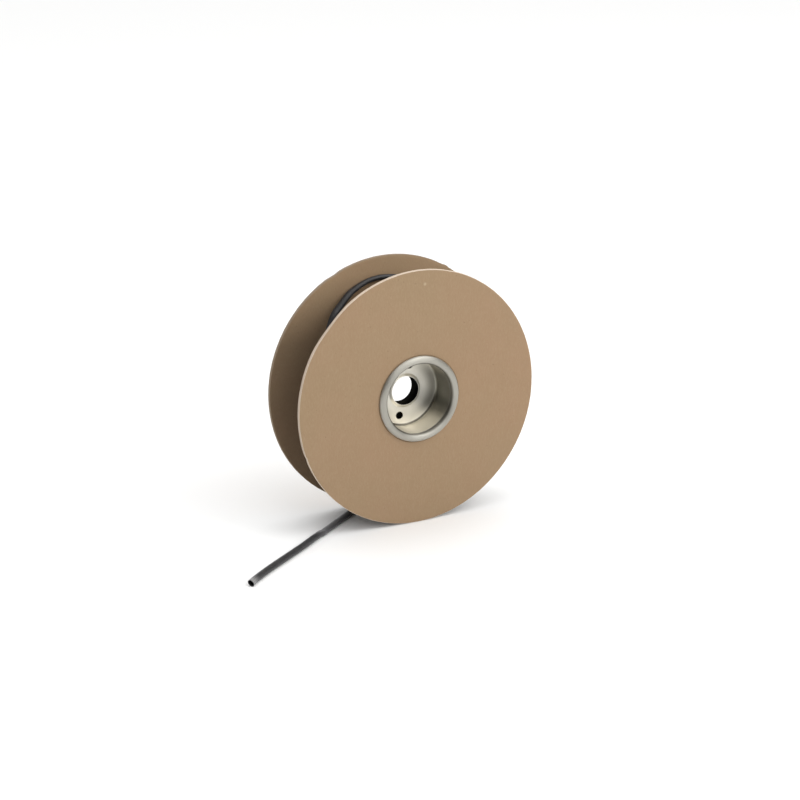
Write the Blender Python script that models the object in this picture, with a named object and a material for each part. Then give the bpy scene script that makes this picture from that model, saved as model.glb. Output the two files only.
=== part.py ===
"""Reel of black heat shrink tubing: two fibreboard flanges on a paper core, two drawn steel hubs, the wound tubing and its free end.

The reel stands on the rims of its flanges. Its axle runs along Y, the front flange faces -Y,
+Z is up, and the origin is on the floor below the middle of the axle. Lengths are in metres.
"""

import math

import bmesh
import bpy
from mathutils import Matrix, Vector

# Flanges
FLANGE_DIAMETER = 0.2032
FLANGE_THICKNESS = 0.003
FLANGE_SEGMENTS = 96
TRAVERSE = 0.0507

# Hubs, drawn from steel sheet as a cup with a rolled rim
SHEET_THICKNESS = 0.0007
CUP_INNER_DIAMETER = 0.0576
CUP_DEPTH = 0.0240
CUP_FILLET = 0.0030
MOUTH_LIP = 0.0008
RIM_WIDTH = 0.0062
RIM_HEIGHT = 0.0020
RIM_SEAT = 0.0003
BORE_DIAMETER = 0.0230
BORE_LIP_HEIGHT = 0.0014
BORE_LIP_WIDTH = 0.0013
DRIVE_HOLE_DIAMETER = 0.0062
DRIVE_HOLE_PITCH_DIAMETER = 0.0410
DRIVE_HOLE_ANGLE = math.radians(-102.5)
REAR_HUB_TURN = math.radians(55)
HUB_SEGMENTS = 48
RIM_STEPS = 6
LIP_STEPS = 2

# Paper core
CORE_WALL = 0.0034
CORE_SEGMENTS = 48

# Tubing and its winding
TUBE_DIAMETER = 0.0052
WINDING_DIAMETER = 0.1400
TURNS_ACROSS = 7
TURN_RELIEF = 0.0009
TOP_LAYER_TURNS = 3
TOP_LAYER_HEIGHT = 0.0028
WINDING_SEGMENTS = 64

# Clearances
FIT = 0.0003
RIM_MARGIN = 0.0005

# Worked out from the sizes above
FLANGE_RADIUS = FLANGE_DIAMETER / 2
# The reel stands on one flat of its many-sided flanges, so its axle is this high.
AXLE_HEIGHT = FLANGE_RADIUS * math.cos(math.pi / FLANGE_SEGMENTS)
INNER_FACE = TRAVERSE / 2
OUTER_FACE = INNER_FACE + FLANGE_THICKNESS
CUP_OUTER_RADIUS = CUP_INNER_DIAMETER / 2 + SHEET_THICKNESS
MOUTH_RADIUS = CUP_INNER_DIAMETER / 2 - MOUTH_LIP
RIM_RADIUS = MOUTH_RADIUS + RIM_WIDTH
CORE_INNER_RADIUS = CUP_OUTER_RADIUS + FIT
CORE_OUTER_RADIUS = CORE_INNER_RADIUS + CORE_WALL
WINDING_INNER_RADIUS = CORE_OUTER_RADIUS + FIT
WINDING_RADIUS = WINDING_DIAMETER / 2
LAST_TURN_RADIUS = WINDING_RADIUS + FIT + TUBE_DIAMETER / 2
FLOOR_LINE = TUBE_DIAMETER / 2

# The free end of the tubing. It lifts off the winding at the left, humps over its top towards the rear
# flange, lies on the winding again down the right side, and drops from below it to the floor.
# Each point of the last turn is its angle about the axle in degrees, its lift off the winding, and its y.
LAST_TURN_ROUTE = [
    (172.0, 0.0000, 0.0040),
    (160.0, 0.0002, 0.0060),
    (149.0, 0.0015, 0.0085),
    (139.0, 0.0042, 0.0115),
    (129.0, 0.0084, 0.0150),
    (120.5, 0.0094, 0.0180),
    (113.5, 0.0112, 0.0202),
    (107.0, 0.0123, 0.0214),
    (100.5, 0.0131, 0.0220),
    (92.0, 0.0128, 0.0221),
    (80.0, 0.0108, 0.0221),
    (66.0, 0.0072, 0.0220),
    (52.0, 0.0034, 0.0219),
    (38.0, 0.0009, 0.0218),
    (24.0, 0.0000, 0.0218),
    (9.0, 0.0000, 0.0218),
    (-6.0, 0.0000, 0.0218),
    (-21.0, 0.0000, 0.0218),
    (-36.0, 0.0000, 0.0218),
    (-49.0, 0.0000, 0.0218),
    (-60.0, 0.0003, 0.0218),
]
# From there on each point is x, y and the height of the tube's middle.
DROP_ROUTE = [
    (0.0245, 0.0218, 0.0314),
    (0.0130, 0.0217, 0.0240),
    (0.0030, 0.0215, 0.0178),
    (-0.0070, 0.0209, 0.0125),
    (-0.0170, 0.0192, 0.0084),
    (-0.0268, 0.0160, 0.0055),
    (-0.0358, 0.0120, 0.0038),
    (-0.0445, 0.0076, 0.0029),
]
# On the floor each point is x and y.
FLOOR_ROUTE = [
    (-0.0547, 0.0004),
    (-0.0676, -0.0093),
    (-0.0816, -0.0198),
    (-0.1018, -0.0351),
    (-0.1218, -0.0489),
    (-0.1415, -0.0625),
    (-0.1559, -0.0731),
    (-0.1622, -0.0782),
    (-0.1668, -0.0827),
]
TAIL_POINTS = 56
TAIL_BEVEL_RESOLUTION = 3


def clear_scene():
    for item in list(bpy.data.objects):
        bpy.data.objects.remove(item, do_unlink=True)


def material(name, colour, roughness, metallic=0.0):
    made = bpy.data.materials.new(name)
    made.use_nodes = True
    shader = made.node_tree.nodes["Principled BSDF"]
    shader.inputs["Base Color"].default_value = (*colour, 1.0)
    shader.inputs["Roughness"].default_value = roughness
    shader.inputs["Metallic"].default_value = metallic
    made.diffuse_color = (*colour, 1.0)
    return made


def link(name, data, finish):
    made = bpy.data.objects.new(name, data)
    bpy.context.scene.collection.objects.link(made)
    data.materials.append(finish)
    return made


def arc(centre, radius, start, end, steps):
    """Points of an arc in the (radius, axial) plane, its angles in degrees."""
    points = []
    for step in range(steps + 1):
        angle = math.radians(start + (end - start) * step / steps)
        points.append((centre[0] + radius * math.cos(angle), centre[1] + radius * math.sin(angle)))
    return points


def thickened(path, thickness):
    """A closed section: a path, and the same path moved to its right by the sheet's thickness."""
    moved = []
    for index, point in enumerate(path):
        here = Vector(point)
        sides = []
        if index > 0:
            sides.append((here - Vector(path[index - 1])).normalized())
        if index < len(path) - 1:
            sides.append((Vector(path[index + 1]) - here).normalized())
        normals = [Vector((side.y, -side.x)) for side in sides]
        middle = sum(normals, Vector((0.0, 0.0))).normalized()
        reach = thickness / max(middle.dot(normals[0]), 0.5)
        moved.append(tuple(here + middle * reach))
    return path + moved[::-1]


def turned(name, section, segments, finish, side=-1):
    """A solid of revolution about the axle from a closed section of (radius, distance from the middle).

    side is -1 for a section that faces the front and 1 for its mirror image at the rear.
    """
    mesh = bpy.data.meshes.new(name)
    shape = bmesh.new()
    half_step = math.pi / segments
    start = Matrix.Rotation(half_step, 3, "Y")
    ring = [shape.verts.new(start @ Vector((0.0, side * along, -radius))) for radius, along in section]
    edges = [shape.edges.new((ring[i], ring[(i + 1) % len(ring)])) for i in range(len(ring))]
    bmesh.ops.spin(
        shape,
        geom=ring + edges,
        cent=(0.0, 0.0, 0.0),
        axis=(0.0, 1.0, 0.0),
        angle=math.tau,
        steps=segments,
        use_duplicate=False,
    )
    bmesh.ops.remove_doubles(shape, verts=shape.verts, dist=1e-6)
    bmesh.ops.recalc_face_normals(shape, faces=shape.faces)
    bmesh.ops.translate(shape, verts=shape.verts, vec=(0.0, 0.0, AXLE_HEIGHT))
    shape.to_mesh(mesh)
    shape.free()
    mesh.shade_smooth()
    mesh.set_sharp_from_angle(angle=math.radians(35))
    return link(name, mesh, finish)


def flange(name, side, finish):
    """A board disc, pressed in a little where the hub's rim sits on its outer face."""
    hole = CUP_OUTER_RADIUS + FIT
    seat = RIM_RADIUS + RIM_MARGIN
    section = [
        (hole, INNER_FACE),
        (FLANGE_RADIUS, INNER_FACE),
        (FLANGE_RADIUS, OUTER_FACE),
        (seat, OUTER_FACE),
        (seat, OUTER_FACE - RIM_SEAT),
        (hole, OUTER_FACE - RIM_SEAT),
    ]
    return turned(name, section, FLANGE_SEGMENTS, finish, side)


def core(finish):
    half_length = INNER_FACE - FIT
    section = [
        (CORE_INNER_RADIUS, -half_length),
        (CORE_OUTER_RADIUS, -half_length),
        (CORE_OUTER_RADIUS, half_length),
        (CORE_INNER_RADIUS, half_length),
    ]
    return turned("core_tube", section, CORE_SEGMENTS, finish)


def hub_section():
    """The pressed sheet, followed from the bore's lip along the floor, up the wall and over the rim."""
    floor = OUTER_FACE - CUP_DEPTH
    lip = BORE_DIAMETER / 2 + SHEET_THICKNESS
    wall = CUP_INNER_DIAMETER / 2
    rim_foot = OUTER_FACE - RIM_SEAT + FIT + SHEET_THICKNESS
    path = []
    for step in range(LIP_STEPS + 1):
        angle = math.pi / 2 * step / LIP_STEPS
        across = lip + BORE_LIP_WIDTH * (1 - math.cos(angle))
        path.append((across, floor + BORE_LIP_HEIGHT * (1 - math.sin(angle))))
    path += arc((wall - CUP_FILLET, floor + CUP_FILLET), CUP_FILLET, -90, 0, 3)
    path.append((wall, OUTER_FACE - RIM_HEIGHT))
    for step in range(RIM_STEPS + 1):
        angle = math.pi * (1 - step / RIM_STEPS)
        across = MOUTH_RADIUS + RIM_WIDTH / 2 * (1 + math.cos(angle))
        path.append((across, rim_foot + RIM_HEIGHT * math.sin(angle)))
    path.append((RIM_RADIUS, rim_foot - SHEET_THICKNESS / 2))
    return thickened(path, SHEET_THICKNESS)


def drive_hole_cutter(name, side, turn):
    """A round cutter through the hub's floor, at one of its two drive holes."""
    mesh = bpy.data.meshes.new(name)
    shape = bmesh.new()
    depth = 8 * SHEET_THICKNESS
    bmesh.ops.create_cone(
        shape,
        cap_ends=True,
        segments=20,
        radius1=DRIVE_HOLE_DIAMETER / 2,
        radius2=DRIVE_HOLE_DIAMETER / 2,
        depth=depth,
        matrix=Matrix.Rotation(math.radians(90), 4, "X"),
    )
    angle = DRIVE_HOLE_ANGLE + turn
    reach = DRIVE_HOLE_PITCH_DIAMETER / 2
    place = Vector((
        reach * math.cos(angle),
        side * (OUTER_FACE - CUP_DEPTH),
        AXLE_HEIGHT + reach * math.sin(angle),
    ))
    bmesh.ops.translate(shape, verts=shape.verts, vec=place)
    shape.to_mesh(mesh)
    shape.free()
    cutter = bpy.data.objects.new(name, mesh)
    bpy.context.scene.collection.objects.link(cutter)
    cutter.hide_render = True
    cutter.display_type = "WIRE"
    return cutter


def hub(name, side, finish, turned_by=0.0):
    """A hub cup with two drive holes. It is put on its board at any angle, so turned_by sets where they are."""
    made = turned(name, hub_section(), HUB_SEGMENTS, finish, side)
    for number, turn in enumerate((turned_by, turned_by + math.pi)):
        cutter = drive_hole_cutter(f"{name}_drive_cutter_{number + 1}", side, turn)
        cut = made.modifiers.new(f"Drive hole {number + 1}", "BOOLEAN")
        cut.operation = "DIFFERENCE"
        cut.solver = "EXACT"
        cut.object = cutter
    return made


def winding_section():
    """The wound tubing as one body with a ripple for each turn, its unfinished top layer at the front."""
    half_width = INNER_FACE - FIT
    pitch = 2 * half_width / TURNS_ACROSS
    section = [(WINDING_INNER_RADIUS, half_width)]
    for turn in range(TURNS_ACROSS):
        start = half_width - turn * pitch
        crown = WINDING_RADIUS
        if turn < TOP_LAYER_TURNS:
            crown += TOP_LAYER_HEIGHT
        foot = crown - TURN_RELIEF
        if turn in (0, TOP_LAYER_TURNS):
            section.append((foot, start))
        section.append((crown, start - 0.3 * pitch))
        section.append((crown, start - 0.7 * pitch))
        section.append((foot, start - pitch))
    section.append((WINDING_INNER_RADIUS, -half_width))
    return section


def winding(finish):
    return turned("tube_winding", winding_section(), WINDING_SEGMENTS, finish)


def smooth_route(points, count):
    """Evenly spaced points on a smooth curve through the route's own points."""
    fine = []
    last = len(points) - 1
    for index in range(last):
        before = Vector(points[max(index - 1, 0)])
        here = Vector(points[index])
        there = Vector(points[index + 1])
        after = Vector(points[min(index + 2, last)])
        for step in range(16):
            t = step / 16
            fine.append(0.5 * (
                2 * here
                + (there - before) * t
                + (2 * before - 5 * here + 4 * there - after) * t * t
                + (3 * here - before - 3 * there + after) * t * t * t
            ))
    fine.append(Vector(points[last]))
    along = [0.0]
    for index in range(1, len(fine)):
        along.append(along[-1] + (fine[index] - fine[index - 1]).length)
    spaced = []
    index = 0
    for number in range(count):
        target = along[-1] * number / (count - 1)
        while index < len(fine) - 2 and along[index + 1] < target:
            index += 1
        share = (target - along[index]) / (along[index + 1] - along[index])
        spaced.append(fine[index].lerp(fine[index + 1], min(share, 1.0)))
    return spaced


def tail_route():
    """The free end's own points: round the winding, down to the floor and out beside the reel."""
    route = []
    for degrees, lift, along in LAST_TURN_ROUTE:
        angle = math.radians(degrees)
        radius = LAST_TURN_RADIUS + lift
        route.append((radius * math.cos(angle), along, AXLE_HEIGHT + radius * math.sin(angle)))
    route += DROP_ROUTE
    route += [(x, y, FLOOR_LINE) for x, y in FLOOR_ROUTE]
    return route


def tail(finish):
    """The tubing's free end as a plain round cord."""
    curve = bpy.data.curves.new("tube_tail", "CURVE")
    curve.dimensions = "3D"
    curve.bevel_depth = TUBE_DIAMETER / 2
    curve.bevel_resolution = TAIL_BEVEL_RESOLUTION
    curve.use_fill_caps = True
    curve.render_resolution_u = 0
    points = smooth_route(tail_route(), TAIL_POINTS)
    spline = curve.splines.new("POLY")
    spline.points.add(len(points) - 1)
    for place, point in zip(spline.points, points):
        place.co = (*point, 1.0)
    return link("tube_tail", curve, finish)


def main():
    clear_scene()
    board = material("Fibreboard", (0.39, 0.27, 0.16), 0.85)
    paper = material("Core paper", (0.42, 0.32, 0.21), 0.9)
    steel = material("Plated steel", (0.60, 0.58, 0.52), 0.3, 1.0)
    tubing = material("Black tubing", (0.012, 0.012, 0.013), 0.45)
    flange("front_flange", -1, board)
    flange("rear_flange", 1, board)
    core(paper)
    hub("front_hub", -1, steel)
    hub("rear_hub", 1, steel, REAR_HUB_TURN)
    winding(tubing)
    tail(tubing)


main()
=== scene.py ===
"""Looks of a reel of black heat shrink tubing.

It has two kraft board flanges, two drawn steel hubs, a paper core, the wound tubing and its free end. Lengths
are in metres. The reel's axle runs along Y, the front flange faces -Y and the floor is at z = 0.
"""

import math

import bmesh
import bpy
from mathutils import Matrix, Vector, noise


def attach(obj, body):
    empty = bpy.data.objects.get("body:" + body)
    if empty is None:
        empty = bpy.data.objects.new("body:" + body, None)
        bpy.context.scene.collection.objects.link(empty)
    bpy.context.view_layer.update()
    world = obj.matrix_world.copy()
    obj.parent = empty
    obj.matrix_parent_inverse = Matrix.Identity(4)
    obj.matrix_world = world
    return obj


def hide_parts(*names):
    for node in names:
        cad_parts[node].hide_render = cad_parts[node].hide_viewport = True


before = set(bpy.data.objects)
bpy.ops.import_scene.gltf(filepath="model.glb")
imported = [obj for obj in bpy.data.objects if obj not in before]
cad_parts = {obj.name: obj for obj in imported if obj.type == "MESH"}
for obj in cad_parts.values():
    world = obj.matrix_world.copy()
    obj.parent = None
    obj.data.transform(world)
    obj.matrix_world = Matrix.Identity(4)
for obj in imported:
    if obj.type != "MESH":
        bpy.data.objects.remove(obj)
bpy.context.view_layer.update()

# Camera: where it stands, the point that it looks at, and its lens and sensor in millimetres
CAMERA_PLACE = (-0.66689, -1.26178, 0.56331)
CAMERA_TARGET = (-0.00256, -0.00179, 0.09311)
CAMERA_LENS = 86.5
CAMERA_SENSOR = 36.0

# Light: how bright the room is on each side, how dim at the left, and the point that the soft boxes face
ROOM_IN_FRONT = (0.09, 0.09, 0.09)
ROOM_BEHIND = (1.1, 1.1, 1.1)
ROOM_OVERHEAD = (2.1, 2.1, 2.1)
ROOM_AT_LEFT = 0.5
LIGHTS_AIM = (0.0, 0.0, 0.09)
# Each soft box is its name, place, width, height and power in watts
SOFT_BOXES = [
    ("key_light", (1.5, -1.5, 1.9), 1.6, 1.6, 33.0),
    ("front_light", (0.33, -2.3, 1.15), 2.0, 0.9, 20.0),
]
STUDIO_FLOOR_RADIUS = 14.0
STUDIO_FLOOR_TONE = (0.86, 0.86, 0.855, 1.0)

# Reel, as in the CAD model
FLANGE_RADIUS = 0.1015
FLANGE_THICKNESS = 0.003
TRAVERSE = 0.0507
INNER_FACE = TRAVERSE / 2
OUTER_FACE = INNER_FACE + FLANGE_THICKNESS
AXLE_HEIGHT = 0.1016 * math.cos(math.pi / 96)
FIT = 0.0003
# Edges of the boards and hubs that turn by more than this are shaded as sharp
SHARP_ANGLE = math.radians(40)

# Board flanges
FLANGE_SEGMENTS = 360
EDGE_ROUND = 0.00035
EDGE_ROUND_STEPS = 3
EDGE_STEPS = 6
EDGE_ROUGHNESS = 0.00010
EDGE_GRAIN = 420
# Where the rings of points on a face lie, as shares of the way from the hole to the edge
FACE_RINGS = (0.2, 0.45, 0.7, 0.88, 0.97)
# The dents reach this far in from the edge. Each is its angle and half width in degrees, and its depth, which
# is below zero where it goes in.
DENTED_BAND = 0.004
FRONT_DENTS = [(-160.5, 1.2, -0.0004), (74.9, 1.6, -0.0002), (138.0, 9.0, -0.0010)]
REAR_DENTS = [(58.5, 0.8, 0.0007), (116.4, 2.5, -0.0006)]
# Dark and pale pulp of each board's cut edge, the rear one darker
FRONT_CUT_TONES = ((0.51, 0.41, 0.315), (0.62, 0.515, 0.42))
REAR_CUT_TONES = ((0.24, 0.18, 0.125), (0.31, 0.24, 0.175))
# A pale scuff on the front board, as its x and its height over the axle
SCUFF = (0.0048, 0.0903)
# The inner faces go from painted shade to a slight painted light between these heights over the axle
INNER_FACE_SHADE_HEIGHTS = (0.04, 0.09)

# Hub cup
SHEET = 0.0007
CUP_RADIUS = 0.0288
CUP_DEPTH = 0.0240
CUP_FILLET = 0.0022
MOUTH_RADIUS = 0.0280
RIM_WIDTH = 0.0062
RIM_HEIGHT = 0.0020
RIM_SEAT = 0.0003
RIM_MARGIN = 0.0005
BORE_RADIUS = 0.0115
BORE_LIP_HEIGHT = 0.0014
BORE_LIP_WIDTH = 0.0026
DRIVE_HOLE_RADIUS = 0.0031
DRIVE_HOLE_REACH = 0.0205
DRIVE_HOLE_ANGLE = math.radians(-102.5)
REAR_HUB_TURN = math.radians(55)
HUB_SEGMENTS = 160
BORE_LIP_STEPS = 12
FILLET_STEPS = 10
RIM_STEPS = 24
# A ring of points on the cup's wall lies this deep under the board's outer face
WALL_RING_DEPTH = 0.006
CUTTER_SEGMENTS = 32

# Plated steel: two tones of the floor, a painted shade for its edge, a painted shade and a painted light for
# the wall, one for the rim, and one of painted shade for the corner and the mouth
FLOOR_TONES = ((0.67, 0.645, 0.575), (0.74, 0.715, 0.645))
FLOOR_EDGE_SHADE_TONE = (0.36, 0.345, 0.30)
WALL_SHADE_AND_LIGHT_TONES = ((0.22, 0.21, 0.175), (0.72, 0.67, 0.56))
RIM_TONE = (0.43, 0.415, 0.37)
PAINTED_SHADE_TONE = (0.10, 0.09, 0.07)
# The painted shade at the floor's edge sets in between these distances from the axle
FLOOR_EDGE_SHADE_REACH = (0.017, 0.025)
# The wall gets painted light, and the floor's edge loses its painted shade, between these heights over and
# under the axle
WALL_LIGHT_HEIGHTS = (0.009, 0.024)
# Painted shade in the cup's corner sets in between these distances out along the fillet, fades out between
# these rises
# # over the floor, and thins out between these heights from the axle, so that it lies in the low part only
CORNER_SHADE_REACH = (0.0004, 0.0009)
CORNER_SHADE_RISE = (0.0008, 0.0015)
CORNER_SHADE_HEIGHTS = (-0.010, -0.002)
# The painted shade on the rim's inner edge fades out between these distances from the mouth
MOUTH_SHADE_REACH = (0.0004, 0.0014)

# Wound tubing
TUBE_DIAMETER = 0.0052
TUBE_WALL = 0.00045
PRESSED_WIDTH = 0.0066
PRESSED_HEIGHT = 0.0028
PRESSED_SQUARENESS = 0.8
TURNS_ACROSS = 7
TURN_PITCH = 0.00715
FIRST_LAYER_RADIUS = 0.0350
LAYER_HEIGHT = 0.0028
WHOLE_TURNS = 94
JOG_END_ANGLE = 245.0
JOG_SHARE = 0.14
# The last part of the last turn, over which it rises and shifts to meet the free end
RISE_SHARE = 0.19
# The winding's end is tucked a little way into the free end: the degrees of that, the last part of a turn
# over which it gets thinner, and its size there
TUCK_DEGREES = 2.0
TUCK_SHARE = 0.01
TUCK_SIZE = 0.97
# The turns wander a little: how far, and how many steps of noise one turn passes
WOBBLE = 0.00022
WOBBLE_RATE = 5.3
WOBBLE_SEED = 4.0
POINTS_PER_TURN = 64
POINTS_ROUND_TURN = 13
# The length of surface pattern on one turn
PATTERN_PER_TURN = 0.35
WINDING_SHARP_ANGLE = math.radians(80)

# The free end: each point of the last turn is its angle in degrees, its lift off the winding, and its y
LAST_TURN_RADIUS = 0.070 + FIT + TUBE_DIAMETER / 2
LAST_TURN_ROUTE = [
    (172.0, 0.0000, 0.0040),
    (160.0, 0.0002, 0.0060),
    (149.0, 0.0015, 0.0085),
    (139.0, 0.0042, 0.0115),
    (129.0, 0.0084, 0.0150),
    (120.5, 0.0094, 0.0180),
    (113.5, 0.0112, 0.0202),
    (107.0, 0.0123, 0.0214),
    (100.5, 0.0131, 0.0220),
    (92.0, 0.0128, 0.0221),
    (80.0, 0.0108, 0.0221),
    (66.0, 0.0072, 0.0220),
    (52.0, 0.0034, 0.0219),
    (38.0, 0.0009, 0.0218),
    (24.0, 0.0000, 0.0218),
    (9.0, 0.0000, 0.0218),
    (-6.0, 0.0000, 0.0218),
    (-21.0, 0.0000, 0.0218),
    (-36.0, 0.0000, 0.0218),
    (-49.0, 0.0000, 0.0218),
    (-60.0, 0.0003, 0.0218),
]
# From there on each point is x, y and the height of the tube's middle
DROP_ROUTE = [
    (0.0245, 0.0218, 0.0314),
    (0.0130, 0.0217, 0.0240),
    (0.0030, 0.0215, 0.0178),
    (-0.0070, 0.0209, 0.0125),
    (-0.0170, 0.0192, 0.0084),
    (-0.0268, 0.0160, 0.0055),
    (-0.0358, 0.0120, 0.0038),
    (-0.0445, 0.0076, 0.0029),
]
# On the floor each point is x and y
FLOOR_ROUTE = [
    (-0.0547, 0.0004),
    (-0.0676, -0.0093),
    (-0.0816, -0.0198),
    (-0.1018, -0.0351),
    (-0.1218, -0.0489),
    (-0.1415, -0.0625),
    (-0.1559, -0.0731),
    (-0.1622, -0.0782),
    (-0.1668, -0.0827),
]
# The tube is kept pressed flat, and opens out round past a crease near its end. Each line is the distance
# along the free end, the width, the height, the twist in degrees, and where the flat tube sits within the
# round one's room. On the reel 1 is against the turns below it and -1 away from them, and on the floor 1 is
# up and -1 is down.
TAIL_FORM = [
    (0.000, 0.0066, 0.0028, 0.0, 1.0),
    (0.045, 0.0063, 0.0036, -18.0, 1.0),
    (0.062, 0.0063, 0.0038, -18.0, 1.0),
    (0.076, 0.0063, 0.0042, -12.0, 0.1),
    (0.098, 0.0060, 0.0041, 6.0, 0.2),
    (0.125, 0.0061, 0.0040, 6.0, 0.5),
    (0.175, 0.0064, 0.0034, 0.0, 1.0),
    (0.310, 0.0066, 0.0028, 0.0, 1.0),
    (0.350, 0.0066, 0.0027, 0.0, 0.0),
    (0.395, 0.0066, 0.0026, 0.0, -1.0),
    (0.445, 0.0067, 0.0027, 0.0, -1.0),
    (0.451, 0.0072, 0.0036, 0.0, -1.0),
    (0.457, 0.0055, 0.0047, 0.0, -1.0),
    (0.466, 0.0052, 0.0052, 0.0, -1.0),
    (0.549, 0.0051, 0.0051, 40.0, 0.2),
    (0.560, 0.0056, 0.0040, 45.0, 0.2),
]
# How much wider than high the tube is, as a share of its height, where its corners are at their squarest
FLAT_SHARE = 0.8
# Distances along the free end: its flat stretch with painted sheen, and the last stretch with a painted
# highlight
SHEEN_STRETCH = (0.360, 0.380, 0.448, 0.462)
HIGHLIGHT_STRETCH = (0.547, 0.5591)
ROUTE_STEPS = 16
TAIL_ROWS = 420
POINTS_ROUND_TAIL = 32
# Rows of the tube's inside, from its open end inwards
BORE_DEPTH_ROWS = 60
TAIL_SHARP_ANGLE = math.radians(50)

# Tubing: its two blacks, its specks, and the tones of its painted sheen and painted highlight
TUBING_TONES = ((0.019, 0.019, 0.0205), (0.031, 0.031, 0.033))
SPECK_TONE = (0.11, 0.11, 0.11)
PAINTED_SHEEN_TONE = (0.115, 0.115, 0.12)
PAINTED_HIGHLIGHT_TONE = (0.30, 0.30, 0.30)


# Camera, floor and light


def make_camera():
    data = bpy.data.cameras.new("studio_camera")
    data.sensor_width = CAMERA_SENSOR
    data.lens = CAMERA_LENS
    camera = bpy.data.objects.new("studio_camera", data)
    bpy.context.scene.collection.objects.link(camera)
    camera.location = CAMERA_PLACE
    aim = Vector(CAMERA_TARGET) - Vector(CAMERA_PLACE)
    camera.rotation_euler = aim.to_track_quat("-Z", "Y").to_euler()
    bpy.context.scene.camera = camera


def soft_light(name, place, width, height, power):
    """A soft box that faces the reel."""
    data = bpy.data.lights.new(name, "AREA")
    data.shape = "RECTANGLE"
    data.size = width
    data.size_y = height
    data.energy = power
    lamp = bpy.data.objects.new(name, data)
    bpy.context.scene.collection.objects.link(lamp)
    lamp.location = place
    aim = Vector(LIGHTS_AIM) - Vector(place)
    lamp.rotation_euler = aim.to_track_quat("-Z", "Y").to_euler()


def make_studio():
    """A white sweep behind the reel and overhead, a dimmer room in front and at the left, two soft boxes, and
    a white floor."""
    scene = bpy.context.scene
    scene.view_settings.view_transform = "Standard"
    world = bpy.data.worlds.new("studio_world")
    world.use_nodes = True
    tree = world.node_tree
    way = add(tree, "ShaderNodeTexCoord").outputs["Generated"]
    parts = add(tree, "ShaderNodeSeparateXYZ", way)
    behind = ramp(tree, parts.outputs["Y"], -0.1, 0.5, 0.0, 1.0, "SMOOTHSTEP")
    overhead = ramp(tree, parts.outputs["Z"], 0.55, 0.97, 0.0, 1.0, "SMOOTHSTEP")
    level = blend(tree, behind, ROOM_IN_FRONT, ROOM_BEHIND)
    level = blend(tree, overhead, level, ROOM_OVERHEAD)
    left = ramp(tree, parts.outputs["X"], -0.75, -0.25, ROOM_AT_LEFT, 1.0, "SMOOTHSTEP")
    level = blend(tree, 1.0, level, left, "MULTIPLY")
    tree.links.new(level, tree.nodes["Background"].inputs["Color"])
    tree.nodes["Background"].inputs["Strength"].default_value = 1.0
    scene.world = world
    for box in SOFT_BOXES:
        soft_light(*box)

    mesh = bpy.data.meshes.new("studio_floor")
    shape = bmesh.new()
    bmesh.ops.create_circle(shape, cap_ends=True, segments=96, radius=STUDIO_FLOOR_RADIUS)
    shape.to_mesh(mesh)
    shape.free()
    floor = bpy.data.objects.new("studio_floor", mesh)
    bpy.context.scene.collection.objects.link(floor)
    finish = bpy.data.materials.new("studio_floor")
    finish.use_nodes = True
    shader = finish.node_tree.nodes["Principled BSDF"]
    shader.inputs["Base Color"].default_value = STUDIO_FLOOR_TONE
    shader.inputs["Roughness"].default_value = 0.8
    shader.inputs["Specular IOR Level"].default_value = 0.2
    mesh.materials.append(finish)


# Node helpers, for materials and for Geometry Nodes


def add(tree, kind, *inputs, **settings):
    """A node with its settings, its inputs taken in order as sockets to join or as plain values."""
    made = tree.nodes.new(kind)
    for name, value in settings.items():
        setattr(made, name, value)
    for place, value in enumerate(inputs):
        feed(tree, made.inputs[place], value)
    return made


def feed(tree, socket, value):
    if isinstance(value, bpy.types.NodeSocket):
        tree.links.new(value, socket)
    else:
        socket.default_value = value


def reckon(tree, operation, *inputs):
    """One step of arithmetic, as the socket that holds its answer."""
    return add(tree, "ShaderNodeMath", *inputs, operation=operation).outputs[0]


def product(tree, first, second):
    return reckon(tree, "MULTIPLY", first, second)


def ramp(tree, value, low, high, start, end, kind="LINEAR"):
    """A value's range from low to high turned into start to end."""
    made = add(tree, "ShaderNodeMapRange", interpolation_type=kind)
    feed(tree, made.inputs["Value"], value)
    for name, amount in (("From Min", low), ("From Max", high), ("To Min", start), ("To Max", end)):
        feed(tree, made.inputs[name], amount)
    return made.outputs["Result"]


def spread(tree, noisy, start, end):
    """The range that a cloud's values mostly keep to, turned into start to end."""
    return ramp(tree, noisy, 0.3, 0.7, start, end)


def new_material(name, colour):
    made = bpy.data.materials.new(name)
    made.use_nodes = True
    made.diffuse_color = (*colour, 1.0)
    return made, made.node_tree, made.node_tree.nodes["Principled BSDF"]


def place_on_piece(tree):
    """The spot on the piece, in metres, measured from the axle."""
    spot = add(tree, "ShaderNodeTexCoord").outputs["Object"]
    moved = add(tree, "ShaderNodeMapping", spot)
    moved.inputs["Location"].default_value = (0.0, 0.0, -AXLE_HEIGHT)
    return moved.outputs["Vector"]


def cloud(tree, where, scale, detail=3.0, roughness=0.55):
    """Soft noise, as its value socket."""
    made = add(tree, "ShaderNodeTexNoise")
    feed(tree, made.inputs["Vector"], where)
    made.inputs["Scale"].default_value = scale
    made.inputs["Detail"].default_value = detail
    made.inputs["Roughness"].default_value = roughness
    return made.outputs["Fac"]


def blend(tree, share, first, second, kind="MIX"):
    """Two colours mixed, as the colour socket."""
    made = add(tree, "ShaderNodeMix", data_type="RGBA", blend_type=kind)
    feed(tree, made.inputs[0], share)
    feed(tree, made.inputs[6], first if isinstance(first, bpy.types.NodeSocket) else (*first, 1.0))
    feed(tree, made.inputs[7], second if isinstance(second, bpy.types.NodeSocket) else (*second, 1.0))
    return made.outputs[2]


def bumped(tree, shader, height, distance, strength=1.0):
    made = add(tree, "ShaderNodeBump")
    feed(tree, made.inputs["Height"], height)
    made.inputs["Strength"].default_value = strength
    made.inputs["Distance"].default_value = distance
    tree.links.new(made.outputs["Normal"], shader.inputs["Normal"])


# Finishes


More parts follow.
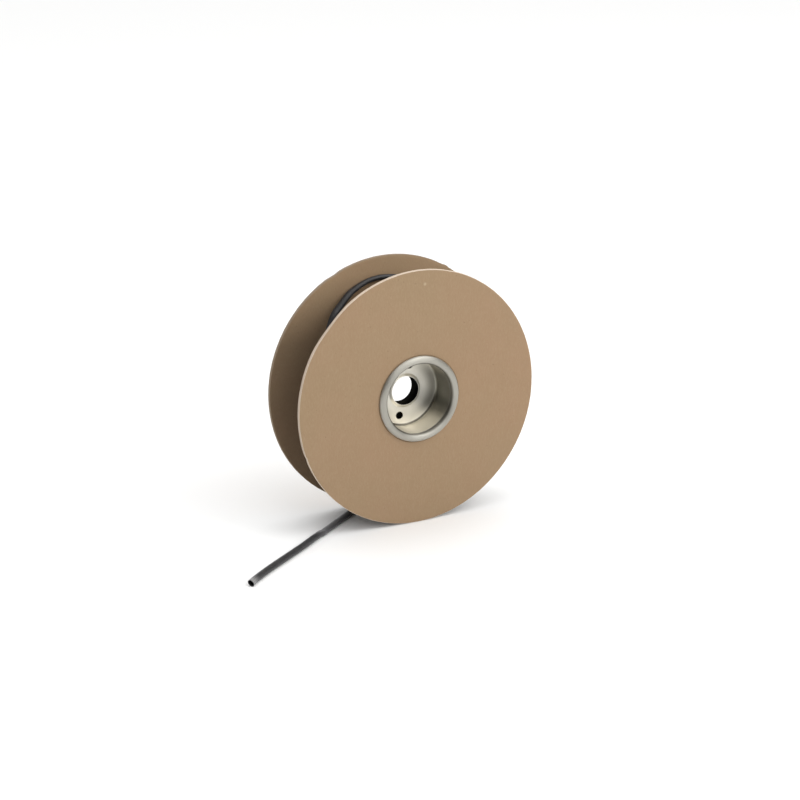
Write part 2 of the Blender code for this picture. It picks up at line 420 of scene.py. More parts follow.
def kraft_face():
    """Kraft liner of the board's faces: soft clouds, a felt of short fibres and a few dark flecks. The front
    board has a pale scuff, and the inner faces carry painted shade lower down and a little painted light near
    the top."""
    made, tree, shader = new_material("kraft_face", (0.40, 0.27, 0.16))
    spot = place_on_piece(tree)
    clouds = cloud(tree, spot, 14.0, 3.0)
    mottle = cloud(tree, spot, 160.0, 4.0)
    stretched = add(tree, "ShaderNodeMapping", spot)
    stretched.inputs["Scale"].default_value = (1.0, 1.0, 0.28)
    fibres = cloud(tree, stretched.outputs["Vector"], 1500.0, 2.0)
    flecks = cloud(tree, spot, 420.0, 1.0)

    tone = blend(tree, spread(tree, clouds, 0.0, 1.0), (0.302, 0.210, 0.123), (0.318, 0.207, 0.124))
    tone = blend(tree, spread(tree, mottle, 0.0, 0.26), tone, (0.285, 0.195, 0.116))
    tone = blend(tree, ramp(tree, fibres, 0.45, 0.8, 0.0, 0.28), tone, (0.40, 0.296, 0.185))
    tone = blend(tree, ramp(tree, flecks, 0.70, 0.78, 0.0, 0.35), tone, (0.20, 0.13, 0.075))
    scuff_place = (SCUFF[0], -OUTER_FACE, SCUFF[1])
    scuff = add(tree, "ShaderNodeVectorMath", spot, scuff_place, operation="DISTANCE").outputs["Value"]
    tone = blend(tree, ramp(tree, scuff, 0.0006, 0.0016, 0.5, 0.0), tone, (0.52, 0.42, 0.29))
    # Painted shade: the inner faces get darker lower down, and a little lighter near the top
    parts = add(tree, "ShaderNodeSeparateXYZ", spot)
    depth = reckon(tree, "ABSOLUTE", parts.outputs["Y"])
    inside = ramp(tree, depth, INNER_FACE + 0.0001, INNER_FACE + 0.0006, 1.0, 0.0)
    painted_shade = ramp(tree, parts.outputs["Z"], *INNER_FACE_SHADE_HEIGHTS, 0.60, 1.13)
    tone = blend(tree, inside, tone, blend(tree, 1.0, tone, painted_shade, "MULTIPLY"))
    tree.links.new(tone, shader.inputs["Base Color"])
    tree.links.new(spread(tree, mottle, 0.78, 0.92), shader.inputs["Roughness"])
    shader.inputs["Specular IOR Level"].default_value = 0.3
    relief = reckon(tree, "ADD", product(tree, fibres, 0.35), product(tree, mottle, 0.65))
    bumped(tree, shader, relief, 0.00012)
    return made


def board_cut(name, dark, pale):
    """Cut edge of the board: pulp in thin layers, between two tones."""
    made, tree, shader = new_material(name, pale)
    spot = place_on_piece(tree)
    layers = add(tree, "ShaderNodeMapping", spot)
    layers.inputs["Scale"].default_value = (1.0, 30.0, 1.0)
    bands = cloud(tree, layers.outputs["Vector"], 60.0, 3.0)
    fluff = cloud(tree, spot, 700.0, 4.0)
    tone = blend(tree, ramp(tree, bands, 0.35, 0.65, 0.0, 1.0), dark, pale)
    tone = blend(tree, ramp(tree, fluff, 0.4, 0.75, 0.0, 0.3), tone, dark)
    tree.links.new(tone, shader.inputs["Base Color"])
    shader.inputs["Roughness"].default_value = 0.95
    shader.inputs["Specular IOR Level"].default_value = 0.2
    bumped(tree, shader, fluff, 0.0002)
    return made


def plated_steel():
    """Satin plated sheet, drawn and turned: brushed in rings about the axle, with faint clouds in its gloss.
    Painted light makes the high and low parts of the wall paler, and painted shade darkens the sides of the
    wall and of the floor's edge. Painted shade also lies in the low part of the corner and on the rim's inner
    edge."""
    made, tree, shader = new_material("plated_steel", (0.62, 0.60, 0.55))
    spot = place_on_piece(tree)
    parts = add(tree, "ShaderNodeSeparateXYZ", spot)
    x_squared = reckon(tree, "POWER", parts.outputs["X"], 2.0)
    z_squared = reckon(tree, "POWER", parts.outputs["Z"], 2.0)
    across = reckon(tree, "SQRT", reckon(tree, "ADD", x_squared, z_squared))
    depth = reckon(tree, "ABSOLUTE", parts.outputs["Y"])
    ringed = add(tree, "ShaderNodeCombineXYZ", across, parts.outputs["Y"], 0.0).outputs["Vector"]
    rings = cloud(tree, ringed, 1400.0, 2.0)
    haze = cloud(tree, spot, 90.0, 3.0)
    foot = CUP_RADIUS - CUP_FILLET
    floor_depth = OUTER_FACE - CUP_DEPTH
    rim_depth = OUTER_FACE - RIM_HEIGHT

    # Floor, wall and rim, each in its own tones
    tone = blend(tree, spread(tree, haze, 0.0, 1.0), *FLOOR_TONES)
    level = reckon(tree, "ABSOLUTE", parts.outputs["Z"])
    # Painted light makes the wall paler high and low; painted shade darkens the sides of the wall and of the
    # floor's edge
    painted_light_band = ramp(tree, level, *WALL_LIGHT_HEIGHTS, 0.0, 1.0, "SMOOTHSTEP")
    floor_edge_shade_mask = ramp(tree, across, *FLOOR_EDGE_SHADE_REACH, 0.0, 1.0, "SMOOTHSTEP")
    painted_shade_edge = product(tree, floor_edge_shade_mask, reckon(tree, "SUBTRACT", 1.0, painted_light_band))
    tone = blend(tree, painted_shade_edge, tone, FLOOR_EDGE_SHADE_TONE)
    past_floor = ramp(tree, across, foot, CUP_RADIUS - 0.0005, 0.0, 1.0)
    tone = blend(tree, past_floor, tone, blend(tree, painted_light_band, *WALL_SHADE_AND_LIGHT_TONES))
    # Painted shade in the low part of the cup's corner
    in_corner = product(
        tree,
        ramp(tree, across, foot + CORNER_SHADE_REACH[0], foot + CORNER_SHADE_REACH[1], 0.0, 1.0),
        ramp(tree, depth, floor_depth + CORNER_SHADE_RISE[0], floor_depth + CORNER_SHADE_RISE[1], 1.0, 0.0),
    )
    painted_shade = product(tree, in_corner, ramp(tree, parts.outputs["Z"], *CORNER_SHADE_HEIGHTS, 0.95, 0.0))
    tone = blend(tree, painted_shade, tone, PAINTED_SHADE_TONE)
    on_rim = ramp(tree, depth, rim_depth - 0.001, rim_depth, 0.0, 1.0)
    tone = blend(tree, on_rim, tone, RIM_TONE)
    # Painted shade on the rim's inner edge by the mouth
    near_mouth = ramp(
        tree, across, MOUTH_RADIUS + MOUTH_SHADE_REACH[0], MOUTH_RADIUS + MOUTH_SHADE_REACH[1], 0.8, 0.0
    )
    tone = blend(tree, product(tree, on_rim, near_mouth), tone, PAINTED_SHADE_TONE)
    tree.links.new(tone, shader.inputs["Base Color"])

    # The brushed gloss, drawn out around the axle
    shader.inputs["Metallic"].default_value = 1.0
    gloss = reckon(tree, "ADD", spread(tree, haze, 0.38, 0.45), spread(tree, rings, -0.03, 0.03))
    gloss = reckon(tree, "ADD", gloss, product(tree, on_rim, 0.12))
    tree.links.new(gloss, shader.inputs["Roughness"])
    backwards = product(tree, parts.outputs["X"], -1.0)
    around = add(tree, "ShaderNodeCombineXYZ", parts.outputs["Z"], 0.0, backwards)
    shader.inputs["Anisotropic"].default_value = 0.75
    shader.inputs["Anisotropic Rotation"].default_value = 0.25
    tree.links.new(around.outputs["Vector"], shader.inputs["Tangent"])
    bumped(tree, shader, rings, 0.00002, 0.6)
    return made


def shade_black_steel():
    """Back of the pressed sheet: unpolished, and near black as painted shade for the inside of the hub."""
    made, tree, shader = new_material("shade_black_steel", (0.09, 0.085, 0.075))
    spot = place_on_piece(tree)
    stains = cloud(tree, spot, 200.0, 4.0)
    # Near black: painted shade for the inside of the hub
    tone = blend(tree, spread(tree, stains, 0.0, 1.0), (0.012, 0.011, 0.009), (0.024, 0.022, 0.018))
    tree.links.new(tone, shader.inputs["Base Color"])
    tree.links.new(spread(tree, stains, 0.7, 0.85), shader.inputs["Roughness"])
    shader.inputs["Specular IOR Level"].default_value = 0.05
    bumped(tree, shader, stains, 0.00003)
    return made


def black_tubing():
    """Satin black plastic tube: fine lines along its length, soft dull patches and pale specks from handling,
    a painted sheen on one flat stretch and a painted highlight at the cut end."""
    made, tree, shader = new_material("black_tubing", (0.018, 0.018, 0.019))
    along = add(tree, "ShaderNodeUVMap", uv_map="tube_uv").outputs["UV"]
    drawn = add(tree, "ShaderNodeMapping", along)
    drawn.inputs["Scale"].default_value = (25.0, 40.0, 1.0)
    lines = cloud(tree, drawn.outputs["Vector"], 1.0, 3.0)
    spot = place_on_piece(tree)
    patches = cloud(tree, spot, 110.0, 3.0)
    tone = blend(tree, ramp(tree, patches, 0.35, 0.7, 0.0, 1.0), *TUBING_TONES)
    specks = cloud(tree, spot, 800.0, 1.0)
    tone = blend(tree, ramp(tree, specks, 0.64, 0.74, 0.0, 0.5), tone, SPECK_TONE)
    way = add(tree, "ShaderNodeSeparateXYZ", along).outputs["X"]
    # Painted sheen: a paler flat stretch
    painted_sheen = product(
        tree,
        ramp(tree, way, *SHEEN_STRETCH[:2], 0.0, 1.0),
        ramp(tree, way, *SHEEN_STRETCH[2:], 1.0, 0.0),
    )
    painted_sheen = product(tree, painted_sheen, ramp(tree, lines, 0.3, 0.6, 0.55, 1.0))
    tone = blend(tree, painted_sheen, tone, PAINTED_SHEEN_TONE)
    # Painted highlight: the last stretch before the cut end is paler
    # The distance goes on past the cut end and back into the tube, which stays black
    outside = reckon(tree, "LESS_THAN", way, HIGHLIGHT_STRETCH[1] + TUBE_WALL / 2)
    painted_highlight = product(tree, ramp(tree, way, *HIGHLIGHT_STRETCH, 0.0, 1.0, "SMOOTHSTEP"), outside)
    painted_highlight = product(tree, painted_highlight, ramp(tree, lines, 0.3, 0.6, 0.35, 1.0))
    tone = blend(tree, painted_highlight, tone, PAINTED_HIGHLIGHT_TONE)
    tree.links.new(tone, shader.inputs["Base Color"])
    gloss = reckon(tree, "ADD", spread(tree, patches, 0.36, 0.48), spread(tree, lines, -0.04, 0.04))
    tree.links.new(gloss, shader.inputs["Roughness"])
    shader.inputs["Specular IOR Level"].default_value = 0.38
    bumped(tree, shader, lines, 0.00004, 0.7)
    return made


def core_paper():
    """Plain wound paper of the core."""
    made, tree, shader = new_material("core_paper", (0.42, 0.32, 0.21))
    spot = place_on_piece(tree)
    pulp = cloud(tree, spot, 300.0, 4.0)
    tone = blend(tree, spread(tree, pulp, 0.0, 1.0), (0.36, 0.27, 0.17), (0.46, 0.35, 0.24))
    tree.links.new(tone, shader.inputs["Base Color"])
    shader.inputs["Roughness"].default_value = 0.9
    bumped(tree, shader, pulp, 0.0001)
    return made


# Shapes


def link_piece(name, mesh, finishes, slot, *nodes):
    """Puts a mesh in the scene as a piece that stands for CAD nodes. A mesh that already has its finishes is
    given none here."""
    piece = bpy.data.objects.new(name, mesh)
    bpy.context.scene.collection.objects.link(piece)
    for finish in finishes:
        mesh.materials.append(finish)
    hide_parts(*nodes)
    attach(piece, "root")
    return piece


def arc(centre, radius, start, end, steps):
    """Points of an arc in the (radius, axial) plane, its angles in degrees."""
    points = []
    for step in range(steps + 1):
        angle = math.radians(start + (end - start) * step / steps)
        points.append((centre[0] + radius * math.cos(angle), centre[1] + radius * math.sin(angle)))
    return points


def turned_shape(section, segments, side):
    """A solid of revolution about the axle, from a closed section of (radius, distance from the middle)."""
    shape = bmesh.new()
    rings = []
    for step in range(segments):
        angle = math.tau * step / segments
        c, s = math.cos(angle), math.sin(angle)
        rings.append([shape.verts.new((r * c, side * along, r * s)) for r, along in section])
    count = len(section)
    for step in range(segments):
        here, there = rings[step], rings[(step + 1) % segments]
        for k in range(count):
            shape.faces.new((here[k], here[(k + 1) % count], there[(k + 1) % count], there[k]))
    bmesh.ops.recalc_face_normals(shape, faces=shape.faces)
    return shape


def to_axle(shape, name):
    """The shape lifted to the axle's height, as a smooth shaded mesh."""
    bmesh.ops.translate(shape, verts=shape.verts, vec=(0.0, 0.0, AXLE_HEIGHT))
    mesh = bpy.data.meshes.new(name)
    shape.to_mesh(mesh)
    shape.free()
    mesh.shade_smooth()
    mesh.set_sharp_from_angle(angle=SHARP_ANGLE)
    return mesh


def flange_section():
    """A board's section in the (radius, axial) plane, with the shallow seat of the hub's rim."""
    hole = CUP_RADIUS + SHEET + FIT
    corner = FLANGE_RADIUS - EDGE_ROUND
    section = [(hole, INNER_FACE)]
    for share in FACE_RINGS:
        section.append((hole + (corner - hole) * share, INNER_FACE))
    section += arc((corner, INNER_FACE + EDGE_ROUND), EDGE_ROUND, -90, 0, EDGE_ROUND_STEPS)
    for step in range(1, EDGE_STEPS):
        share = step / EDGE_STEPS
        section.append((FLANGE_RADIUS, INNER_FACE + EDGE_ROUND + (FLANGE_THICKNESS - 2 * EDGE_ROUND) * share))
    section += arc((corner, OUTER_FACE - EDGE_ROUND), EDGE_ROUND, 0, 90, EDGE_ROUND_STEPS)
    for share in reversed(FACE_RINGS):
        section.append((hole + (corner - hole) * share, OUTER_FACE))
    seat = MOUTH_RADIUS + RIM_WIDTH + RIM_MARGIN
    section += [(seat + RIM_SEAT, OUTER_FACE), (seat, OUTER_FACE - RIM_SEAT), (hole, OUTER_FACE - RIM_SEAT)]
    return section


def make_flange(name, node, side, finishes, seed, dents):
    """A board disc with a cut edge that is a little rough and dented. The faces have the first finish, and
    the cut edge the second."""
    shape = turned_shape(flange_section(), FLANGE_SEGMENTS, side)
    rim = FLANGE_RADIUS - 1.2 * EDGE_ROUND
    for face in shape.faces:
        middle = face.calc_center_median()
        face.material_index = 1 if math.hypot(middle.x, middle.z) > rim else 0
    for vert in shape.verts:
        radius = math.hypot(vert.co.x, vert.co.z)
        if radius < FLANGE_RADIUS - DENTED_BAND:
            continue
        angle = math.degrees(math.atan2(vert.co.z, vert.co.x))
        out = Vector((vert.co.x, 0.0, vert.co.z)) / radius
        push = 0.0
        if radius > rim:
            # Mostly inwards, so that the board keeps its radius
            push = EDGE_ROUGHNESS * (noise.noise(vert.co * EDGE_GRAIN + Vector((seed, 0.0, 0.0))) - 0.6)
        for place, width, depth in dents:
            gap = (angle - place + 180.0) % 360.0 - 180.0
            push += depth * math.exp(-((gap / width) ** 2))
        vert.co += out * push
    mesh = to_axle(shape, name)
    link_piece(name, mesh, finishes, "fibreboard", node)


def hub_path():
    """The front side of the pressed sheet: the bore's collar, the floor, the wall and the rim."""
    floor = OUTER_FACE - CUP_DEPTH
    foot = OUTER_FACE - RIM_SEAT + FIT + SHEET
    path = []
    for step in range(BORE_LIP_STEPS + 1):
        share = step / BORE_LIP_STEPS
        path.append((
            BORE_RADIUS + BORE_LIP_WIDTH * share,
            floor + BORE_LIP_HEIGHT * (1 + math.cos(math.pi * share)) / 2,
        ))
    path += arc((CUP_RADIUS - CUP_FILLET, floor + CUP_FILLET), CUP_FILLET, -90, 0, FILLET_STEPS)
    path.append((CUP_RADIUS, OUTER_FACE - WALL_RING_DEPTH))
    path.append((CUP_RADIUS, OUTER_FACE - RIM_HEIGHT))
    for step in range(RIM_STEPS + 1):
        angle = math.pi * (1 - step / RIM_STEPS)
        across = MOUTH_RADIUS + RIM_WIDTH / 2 * (1 + math.cos(angle))
        path.append((across, foot + RIM_HEIGHT * math.sin(angle)))
    path.append((MOUTH_RADIUS + RIM_WIDTH, foot - SHEET / 2))
    return path


def sheet_back(path):
    """The back of the sheet: the path moved to its right by the sheet's thickness, and by more at a bend."""
    moved = []
    for index, point in enumerate(path):
        here = Vector(point)
        sides = []
        if index > 0:
            sides.append((here - Vector(path[index - 1])).normalized())
        if index < len(path) - 1:
            sides.append((Vector(path[index + 1]) - here).normalized())
        normals = [Vector((side.y, -side.x)) for side in sides]
        middle = sum(normals, Vector((0.0, 0.0))).normalized()
        moved.append(tuple(here + middle * (SHEET / max(middle.dot(normals[0]), 0.5))))
    return moved


def drive_hole_cutter(side, angle):
    """A round cutter through the hub's floor, at one of its two drive holes."""
    shape = bmesh.new()
    bmesh.ops.create_cone(
        shape,
        cap_ends=True,
        segments=CUTTER_SEGMENTS,
        radius1=DRIVE_HOLE_RADIUS,
        radius2=DRIVE_HOLE_RADIUS,
        depth=8 * SHEET,
        matrix=Matrix.Rotation(math.radians(90), 4, "X"),
    )
    place = Vector((
        DRIVE_HOLE_REACH * math.cos(angle),
        side * (OUTER_FACE - CUP_DEPTH),
        AXLE_HEIGHT + DRIVE_HOLE_REACH * math.sin(angle),
    ))
    bmesh.ops.translate(shape, verts=shape.verts, vec=place)
    mesh = bpy.data.meshes.new("drive_hole_cutter")
    shape.to_mesh(mesh)
    shape.free()
    cutter = bpy.data.objects.new("drive_hole_cutter", mesh)
    bpy.context.scene.collection.objects.link(cutter)
    return cutter


def make_hub(name, node, side, finishes, turned_by=0.0):
    """A drawn cup. Its front side has the first finish, and the back of the sheet, near black as painted
    shade, the second.
    """
    path = hub_path()
    shape = turned_shape(path + sheet_back(path)[::-1], HUB_SEGMENTS, side)
    front_faces = len(path) - 1
    for number, face in enumerate(shape.faces):
        face.material_index = 0 if number % (2 * len(path)) < front_faces else 1
    mesh = to_axle(shape, name)
    for finish in finishes:
        mesh.materials.append(finish)
    blank = bpy.data.objects.new("hub_blank", mesh)
    bpy.context.scene.collection.objects.link(blank)
    cutters = []
    for turn in (turned_by, turned_by + math.pi):
        cutter = drive_hole_cutter(side, DRIVE_HOLE_ANGLE + turn)
        cut = blank.modifiers.new("Drive hole", "BOOLEAN")
        cut.operation = "DIFFERENCE"
        cut.solver = "EXACT"
        cut.object = cutter
        cutters.append(cutter)
    cut_mesh = evaluated_mesh(blank, name)
    for spare in [blank, *cutters]:
        bpy.data.objects.remove(spare, do_unlink=True)
    cut_mesh.set_sharp_from_angle(angle=SHARP_ANGLE)
    link_piece(name, cut_mesh, [], "plated_steel", node)


def evaluated_mesh(piece, name):
    """A plain mesh of what a piece's modifiers make."""
    bpy.context.view_layer.update()
    ready = piece.evaluated_get(bpy.context.evaluated_depsgraph_get())
    mesh = bpy.data.meshes.new_from_object(ready)
    mesh.name = name
    return mesh


# The winding, by Geometry Nodes


def winding_tree():
    """One tube wound back and forth in layers, pressed flat. At the end of each turn a short jog takes it to
    the next place."""
    tree = bpy.data.node_groups.new("wound_tubing", "GeometryNodeTree")
    sockets = {}

    def named(name, kind, value=None):
        made = tree.interface.new_socket(name, in_out="INPUT", socket_type=kind)
        if value is not None:
            made.default_value = value
        sockets[name] = made.identifier

    named("Turns", "NodeSocketFloat", 60.0)
    named("Turns across", "NodeSocketFloat", float(TURNS_ACROSS))
    named("Turn pitch", "NodeSocketFloat", TURN_PITCH)
    named("First layer radius", "NodeSocketFloat", FIRST_LAYER_RADIUS)
    named("Layer height", "NodeSocketFloat", LAYER_HEIGHT)
    named("Pressed width", "NodeSocketFloat", PRESSED_WIDTH)
    named("Pressed height", "NodeSocketFloat", PRESSED_HEIGHT)
    named("Squareness", "NodeSocketFloat", PRESSED_SQUARENESS)
    named("End angle", "NodeSocketFloat", 0.0)
    named("End shift", "NodeSocketFloat", 0.0)
    named("End lift", "NodeSocketFloat", 0.0)
    named("Jog share", "NodeSocketFloat", JOG_SHARE)
    named("End size", "NodeSocketFloat", TUCK_SIZE)
    named("Wobble", "NodeSocketFloat", 0.0)
    named("Seed", "NodeSocketFloat", 0.0)
    named("Rows", "NodeSocketInt", 100)
    named("Points round", "NodeSocketInt", 13)
    named("Finish", "NodeSocketMaterial")
    tree.interface.new_socket("Geometry", in_out="OUTPUT", socket_type="NodeSocketGeometry")
    given = tree.nodes.new("NodeGroupInput").outputs

    def sum_of(a, b):
        return reckon(tree, "ADD", a, b)

    def less(a, b):
        return reckon(tree, "SUBTRACT", a, b)

    def times(a, b):
        return product(tree, a, b)

    grid = add(tree, "GeometryNodeMeshGrid")
    grid.inputs["Size X"].default_value = 1.0
    grid.inputs["Size Y"].default_value = 1.0
    tree.links.new(given["Rows"], grid.inputs["Vertices X"])
    tree.links.new(given["Points round"], grid.inputs["Vertices Y"])
    spot = add(tree, "ShaderNodeSeparateXYZ", tree.nodes.new("GeometryNodeInputPosition").outputs[0])
    last_row = less(given["Rows"], 1.0)
    row = times(sum_of(spot.outputs["X"], 0.5), last_row)
    share = reckon(tree, "DIVIDE", less(row, 1.0), less(last_row, 2.0))
    turn = times(add(tree, "ShaderNodeClamp", share, 0.0, 1.0).outputs[0], given["Turns"])
    # The first and last rows close the tube's ends, so they shrink to a point
    off_middle = reckon(tree, "ABSOLUTE", less(row, times(last_row, 0.5)))
    open_row = reckon(tree, "LESS_THAN", off_middle, less(times(last_row, 0.5), 0.5))

    def place_of(whole):
        """Radius and y of the middle of a turn, from its number."""
        layer = reckon(tree, "FLOOR", reckon(tree, "DIVIDE", whole, given["Turns across"]))
        column = less(whole, times(layer, given["Turns across"]))
        way = less(times(reckon(tree, "MODULO", layer, 2.0), 2.0), 1.0)
        centred = less(column, times(less(given["Turns across"], 1.0), 0.5))
        radius = sum_of(given["First layer radius"], times(layer, given["Layer height"]))
        return radius, times(times(centred, given["Turn pitch"]), way)

    # A hair is added, so that a whole turn isn't rounded down to the one before
    whole = reckon(tree, "FLOOR", sum_of(turn, 0.00001))
    jog = ramp(tree, less(turn, whole), less(1.0, given["Jog share"]), 1.0, 0.0, 1.0, "SMOOTHSTEP")
    radius_here, y_here = place_of(whole)
    radius_next, y_next = place_of(sum_of(whole, 1.0))
    ending = ramp(tree, turn, less(given["Turns"], RISE_SHARE), given["Turns"], 0.0, 1.0, "SMOOTHSTEP")

    sway = add(tree, "ShaderNodeTexNoise")
    sway_spot = add(tree, "ShaderNodeCombineXYZ", times(turn, WOBBLE_RATE), given["Seed"], 0.0)
    feed(tree, sway.inputs["Vector"], sway_spot.outputs[0])
    sway.inputs["Scale"].default_value = 1.0
    sway.inputs["Detail"].default_value = 1.0
    sway_parts = add(tree, "ShaderNodeSeparateXYZ", sway.outputs["Color"])
    loose = times(given["Wobble"], less(1.0, ending))

    def mixed(a, b, share_of_b):
        return sum_of(a, times(less(b, a), share_of_b))

    radius = mixed(radius_here, radius_next, jog)
    radius = sum_of(radius, times(given["End lift"], ending))
    radius = sum_of(radius, times(loose, less(sway_parts.outputs["X"], 0.5)))
    along = mixed(y_here, y_next, jog)
    along = sum_of(along, times(given["End shift"], ending))
    along = sum_of(along, times(loose, times(less(sway_parts.outputs["Y"], 0.5), 2.0)))
    end_size = ramp(tree, turn, less(given["Turns"], TUCK_SHARE), given["Turns"], 1.0, given["End size"])
    tucked = times(open_row, end_size)
    half_width = times(times(given["Pressed width"], 0.5), tucked)
    half_height = times(times(given["Pressed height"], 0.5), tucked)

    def flattened(wave):
        """A sine or cosine pushed towards its ends, which turns a circle into a pressed oval."""
        size = reckon(tree, "POWER", reckon(tree, "ABSOLUTE", wave), given["Squareness"])
        return times(size, reckon(tree, "SIGN", wave))

    angle = sum_of(given["End angle"], times(less(given["Turns"], turn), math.tau))
    round_tube = times(spot.outputs["Y"], -math.tau)
    reach = sum_of(radius, times(half_height, flattened(reckon(tree, "SINE", round_tube))))
    where = add(
        tree,
        "ShaderNodeCombineXYZ",
        times(reach, reckon(tree, "COSINE", angle)),
        sum_of(along, times(half_width, flattened(reckon(tree, "COSINE", round_tube)))),
        sum_of(times(reach, reckon(tree, "SINE", angle)), AXLE_HEIGHT),
    )
    metres = times(turn, PATTERN_PER_TURN)
    pattern = add(tree, "ShaderNodeCombineXYZ", metres, sum_of(spot.outputs["Y"], 0.5), 0.0)
    stored = add(tree, "GeometryNodeStoreNamedAttribute", data_type="FLOAT2", domain="CORNER")
    tree.links.new(grid.outputs["Mesh"], stored.inputs["Geometry"])
    stored.inputs["Name"].default_value = "tube_uv"
    tree.links.new(pattern.outputs[0], stored.inputs["Value"])
    shaped = add(tree, "GeometryNodeSetPosition", stored.outputs["Geometry"])
    tree.links.new(where.outputs[0], shaped.inputs["Position"])
    joined = add(tree, "GeometryNodeMergeByDistance", shaped.outputs["Geometry"])
    joined.inputs["Distance"].default_value = 0.000001
    smooth = add(tree, "GeometryNodeSetShadeSmooth", joined.outputs["Geometry"])
    real = add(tree, "GeometryNodeRealizeInstances", smooth.outputs["Geometry"])
    finished = add(tree, "GeometryNodeSetMaterial", real.outputs["Geometry"])
    tree.links.new(given["Finish"], finished.inputs["Material"])
    out = tree.nodes.new("NodeGroupOutput")
    tree.links.new(finished.outputs["Geometry"], out.inputs["Geometry"])
    return tree, sockets


def make_winding(finish):
    """The wound tubing, up to just inside the start of the free end."""
    join_angle, _, end_y = LAST_TURN_ROUTE[0]
    end_angle = join_angle - TUCK_DEGREES
    turns = WHOLE_TURNS + (JOG_END_ANGLE - end_angle) / 360.0
    top_layer = WHOLE_TURNS // TURNS_ACROSS
    column = WHOLE_TURNS - top_layer * TURNS_ACROSS
    top_radius = FIRST_LAYER_RADIUS + top_layer * LAYER_HEIGHT
    top_y = (column - (TURNS_ACROSS - 1) / 2) * TURN_PITCH
    tree, sockets = winding_tree()
    blank = bpy.data.objects.new("winding_blank", bpy.data.meshes.new("winding_blank"))
    bpy.context.scene.collection.objects.link(blank)
    wound = blank.modifiers.new("Wound tubing", "NODES")
    wound.node_group = tree
    # One row more than steps along the turns, and two that close the ends
    row_count = round(turns * POINTS_PER_TURN) + 3
    values = {
        "Turns": turns,
        "End angle": math.radians(end_angle),
        "End shift": end_y - top_y,
        "End lift": LAST_TURN_RADIUS - (TUBE_DIAMETER - PRESSED_HEIGHT) / 2 - top_radius,
        "Wobble": WOBBLE,
        "Seed": WOBBLE_SEED,
        "Rows": row_count,
        "Points round": POINTS_ROUND_TURN,
        "Finish": finish,
    }
    for name, value in values.items():
        wound[sockets[name]] = value
    mesh = evaluated_mesh(blank, "tube_winding_piece")
    mesh.set_sharp_from_angle(angle=WINDING_SHARP_ANGLE)
    mesh.materials.clear()
    bpy.data.objects.remove(blank, do_unlink=True)
    link_piece("wound_tubing", mesh, [finish], "black_tubing", "tube_winding")


# The free end


def smooth_route(points, count):
    """Evenly spaced points on a smooth curve through the route's own points."""
    fine = []
    last = len(points) - 1
    for index in range(last):
        before = Vector(points[max(index - 1, 0)])
        here = Vector(points[index])
        there = Vector(points[index + 1])
        after = Vector(points[min(index + 2, last)])
        for step in range(ROUTE_STEPS):
            t = step / ROUTE_STEPS
            fine.append(0.5 * (
                2 * here
                + (there - before) * t
                + (2 * before - 5 * here + 4 * there - after) * t * t
                + (3 * here - before - 3 * there + after) * t * t * t
            ))
    fine.append(Vector(points[last]))
    along = [0.0]
    for index in range(1, len(fine)):
        along.append(along[-1] + (fine[index] - fine[index - 1]).length)
    spaced = []
    index = 0
    for number in range(count):
        target = along[-1] * number / (count - 1)
        while index < len(fine) - 2 and along[index + 1] < target:
            index += 1
        share = (target - along[index]) / (along[index + 1] - along[index])
        spaced.append(fine[index].lerp(fine[index + 1], min(share, 1.0)))
    return spaced, along[-1]


def tail_route():
    """The free end's own points: round the winding, down to the floor and out beside the reel."""
    route = []
    for degrees, lift, along in LAST_TURN_ROUTE:
        angle = math.radians(degrees)
        radius = LAST_TURN_RADIUS + lift
        route.append((radius * math.cos(angle), along, AXLE_HEIGHT + radius * math.sin(angle)))
    route += DROP_ROUTE
    route += [(x, y, TUBE_DIAMETER / 2) for x, y in FLOOR_ROUTE]
    return route


def tail_form(distance):
    """Width, height, twist and seat of the free end at a distance along it, eased from line to line."""
    for before, after in zip(TAIL_FORM, TAIL_FORM[1:]):
        if distance <= after[0]:
            break
    share = min(max((distance - before[0]) / (after[0] - before[0]), 0.0), 1.0)
    share = share * share * (3 - 2 * share)
    return [a + (b - a) * share for a, b in zip(before[1:], after[1:])]


def squashed(wave, power):
    """A sine or cosine pushed towards its ends, which turns a circle into a pressed oval."""
    return math.copysign(abs(wave) ** power, wave)


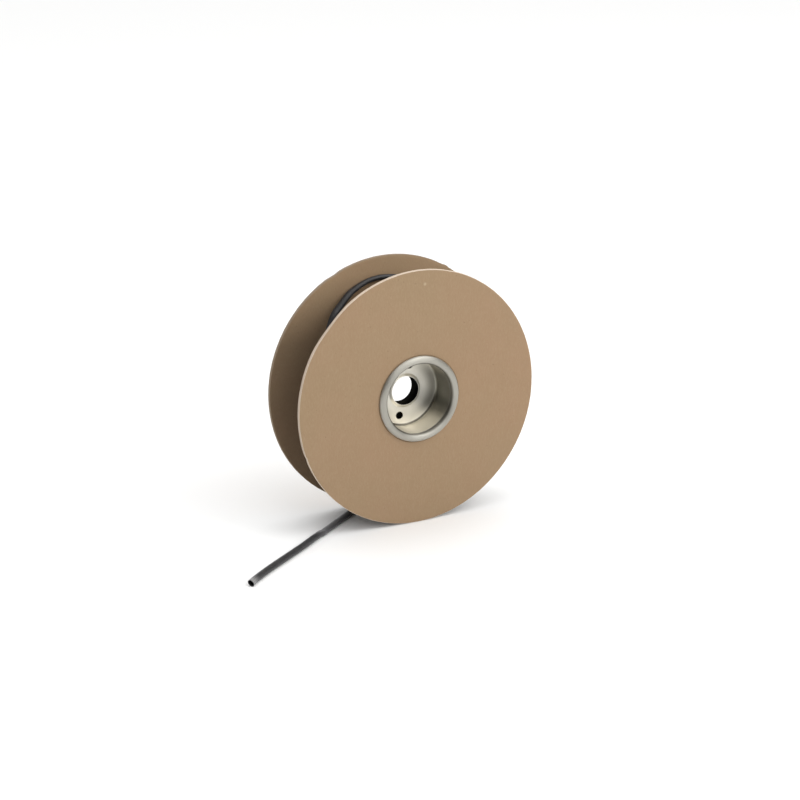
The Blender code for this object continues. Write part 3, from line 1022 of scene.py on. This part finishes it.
def make_tail(finish):
    """The free end as a hollow tube with an open tip, pressed flat up to a crease and round past it."""
    centres, length = smooth_route(tail_route(), TAIL_ROWS)
    spacing = length / (TAIL_ROWS - 1)
    up = Vector((0.0, 0.0, 1.0))
    frames = [None] * TAIL_ROWS
    for index in range(TAIL_ROWS - 1, -1, -1):
        before = centres[max(index - 1, 0)]
        after = centres[min(index + 1, TAIL_ROWS - 1)]
        way = (after - before).normalized()
        up = (up - way * up.dot(way)).normalized()
        frames[index] = (way.cross(up), up)

    def ring(shape, index, inset):
        side, lift = frames[index]
        width, height, twist, seat = tail_form(index * spacing)
        flatness = min(max((width / height - 1.0) / FLAT_SHARE, 0.0), 1.0)
        power = 1.0 - (1.0 - PRESSED_SQUARENESS) * flatness
        turn = math.radians(twist)
        wide = side * math.cos(turn) + lift * math.sin(turn)
        tall = lift * math.cos(turn) - side * math.sin(turn)
        middle = centres[index] + lift * (seat * (TUBE_DIAMETER - height) / 2)
        verts = []
        for step in range(POINTS_ROUND_TAIL):
            angle = math.tau * step / POINTS_ROUND_TAIL
            verts.append(shape.verts.new(
                middle
                + wide * (squashed(math.cos(angle), power) * (width / 2 - inset))
                + tall * (squashed(math.sin(angle), power) * (height / 2 - inset))
            ))
        return verts

    shape = bmesh.new()
    pattern = shape.loops.layers.uv.new("tube_uv")
    rows = []
    for index in range(TAIL_ROWS):
        rows.append((ring(shape, index, 0.0), index * spacing))
    for index in range(TAIL_ROWS - 1, TAIL_ROWS - 1 - BORE_DEPTH_ROWS, -1):
        rows.append((ring(shape, index, TUBE_WALL), 2 * length - index * spacing + TUBE_WALL))
    for (here, start), (there, end) in zip(rows, rows[1:]):
        for step in range(POINTS_ROUND_TAIL):
            other = (step + 1) % POINTS_ROUND_TAIL
            face = shape.faces.new((here[step], here[other], there[other], there[step]))
            low, high = step / POINTS_ROUND_TAIL, (step + 1) / POINTS_ROUND_TAIL
            for corner, place in zip(face.loops, ((start, low), (start, high), (end, high), (end, low))):
                corner[pattern].uv = place
    shape.faces.new(rows[0][0])
    shape.faces.new(rows[-1][0])
    bmesh.ops.recalc_face_normals(shape, faces=shape.faces)
    mesh = bpy.data.meshes.new("tube_free_end")
    shape.to_mesh(mesh)
    shape.free()
    mesh.shade_smooth()
    mesh.set_sharp_from_angle(angle=TAIL_SHARP_ANGLE)
    piece = link_piece("tube_free_end", mesh, [finish], "black_tubing", "tube_tail")


def main():
    make_camera()
    tubing = black_tubing()
    make_tail(tubing)
    make_studio()
    make_winding(tubing)
    face = kraft_face()
    front_cut = board_cut("board_cut", *FRONT_CUT_TONES)
    rear_cut = board_cut("darker_board_cut", *REAR_CUT_TONES)
    make_flange("front_board", "front_flange", -1, [face, front_cut], 1.0, FRONT_DENTS)
    make_flange("rear_board", "rear_flange", 1, [face, rear_cut], 5.0, REAR_DENTS)
    cup = [plated_steel(), shade_black_steel()]
    make_hub("front_cup", "front_hub", -1, cup)
    make_hub("rear_cup", "rear_hub", 1, cup, REAR_HUB_TURN)
    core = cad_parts["core_tube"]
    core.data.materials.clear()
    core.data.materials.append(core_paper())


main()
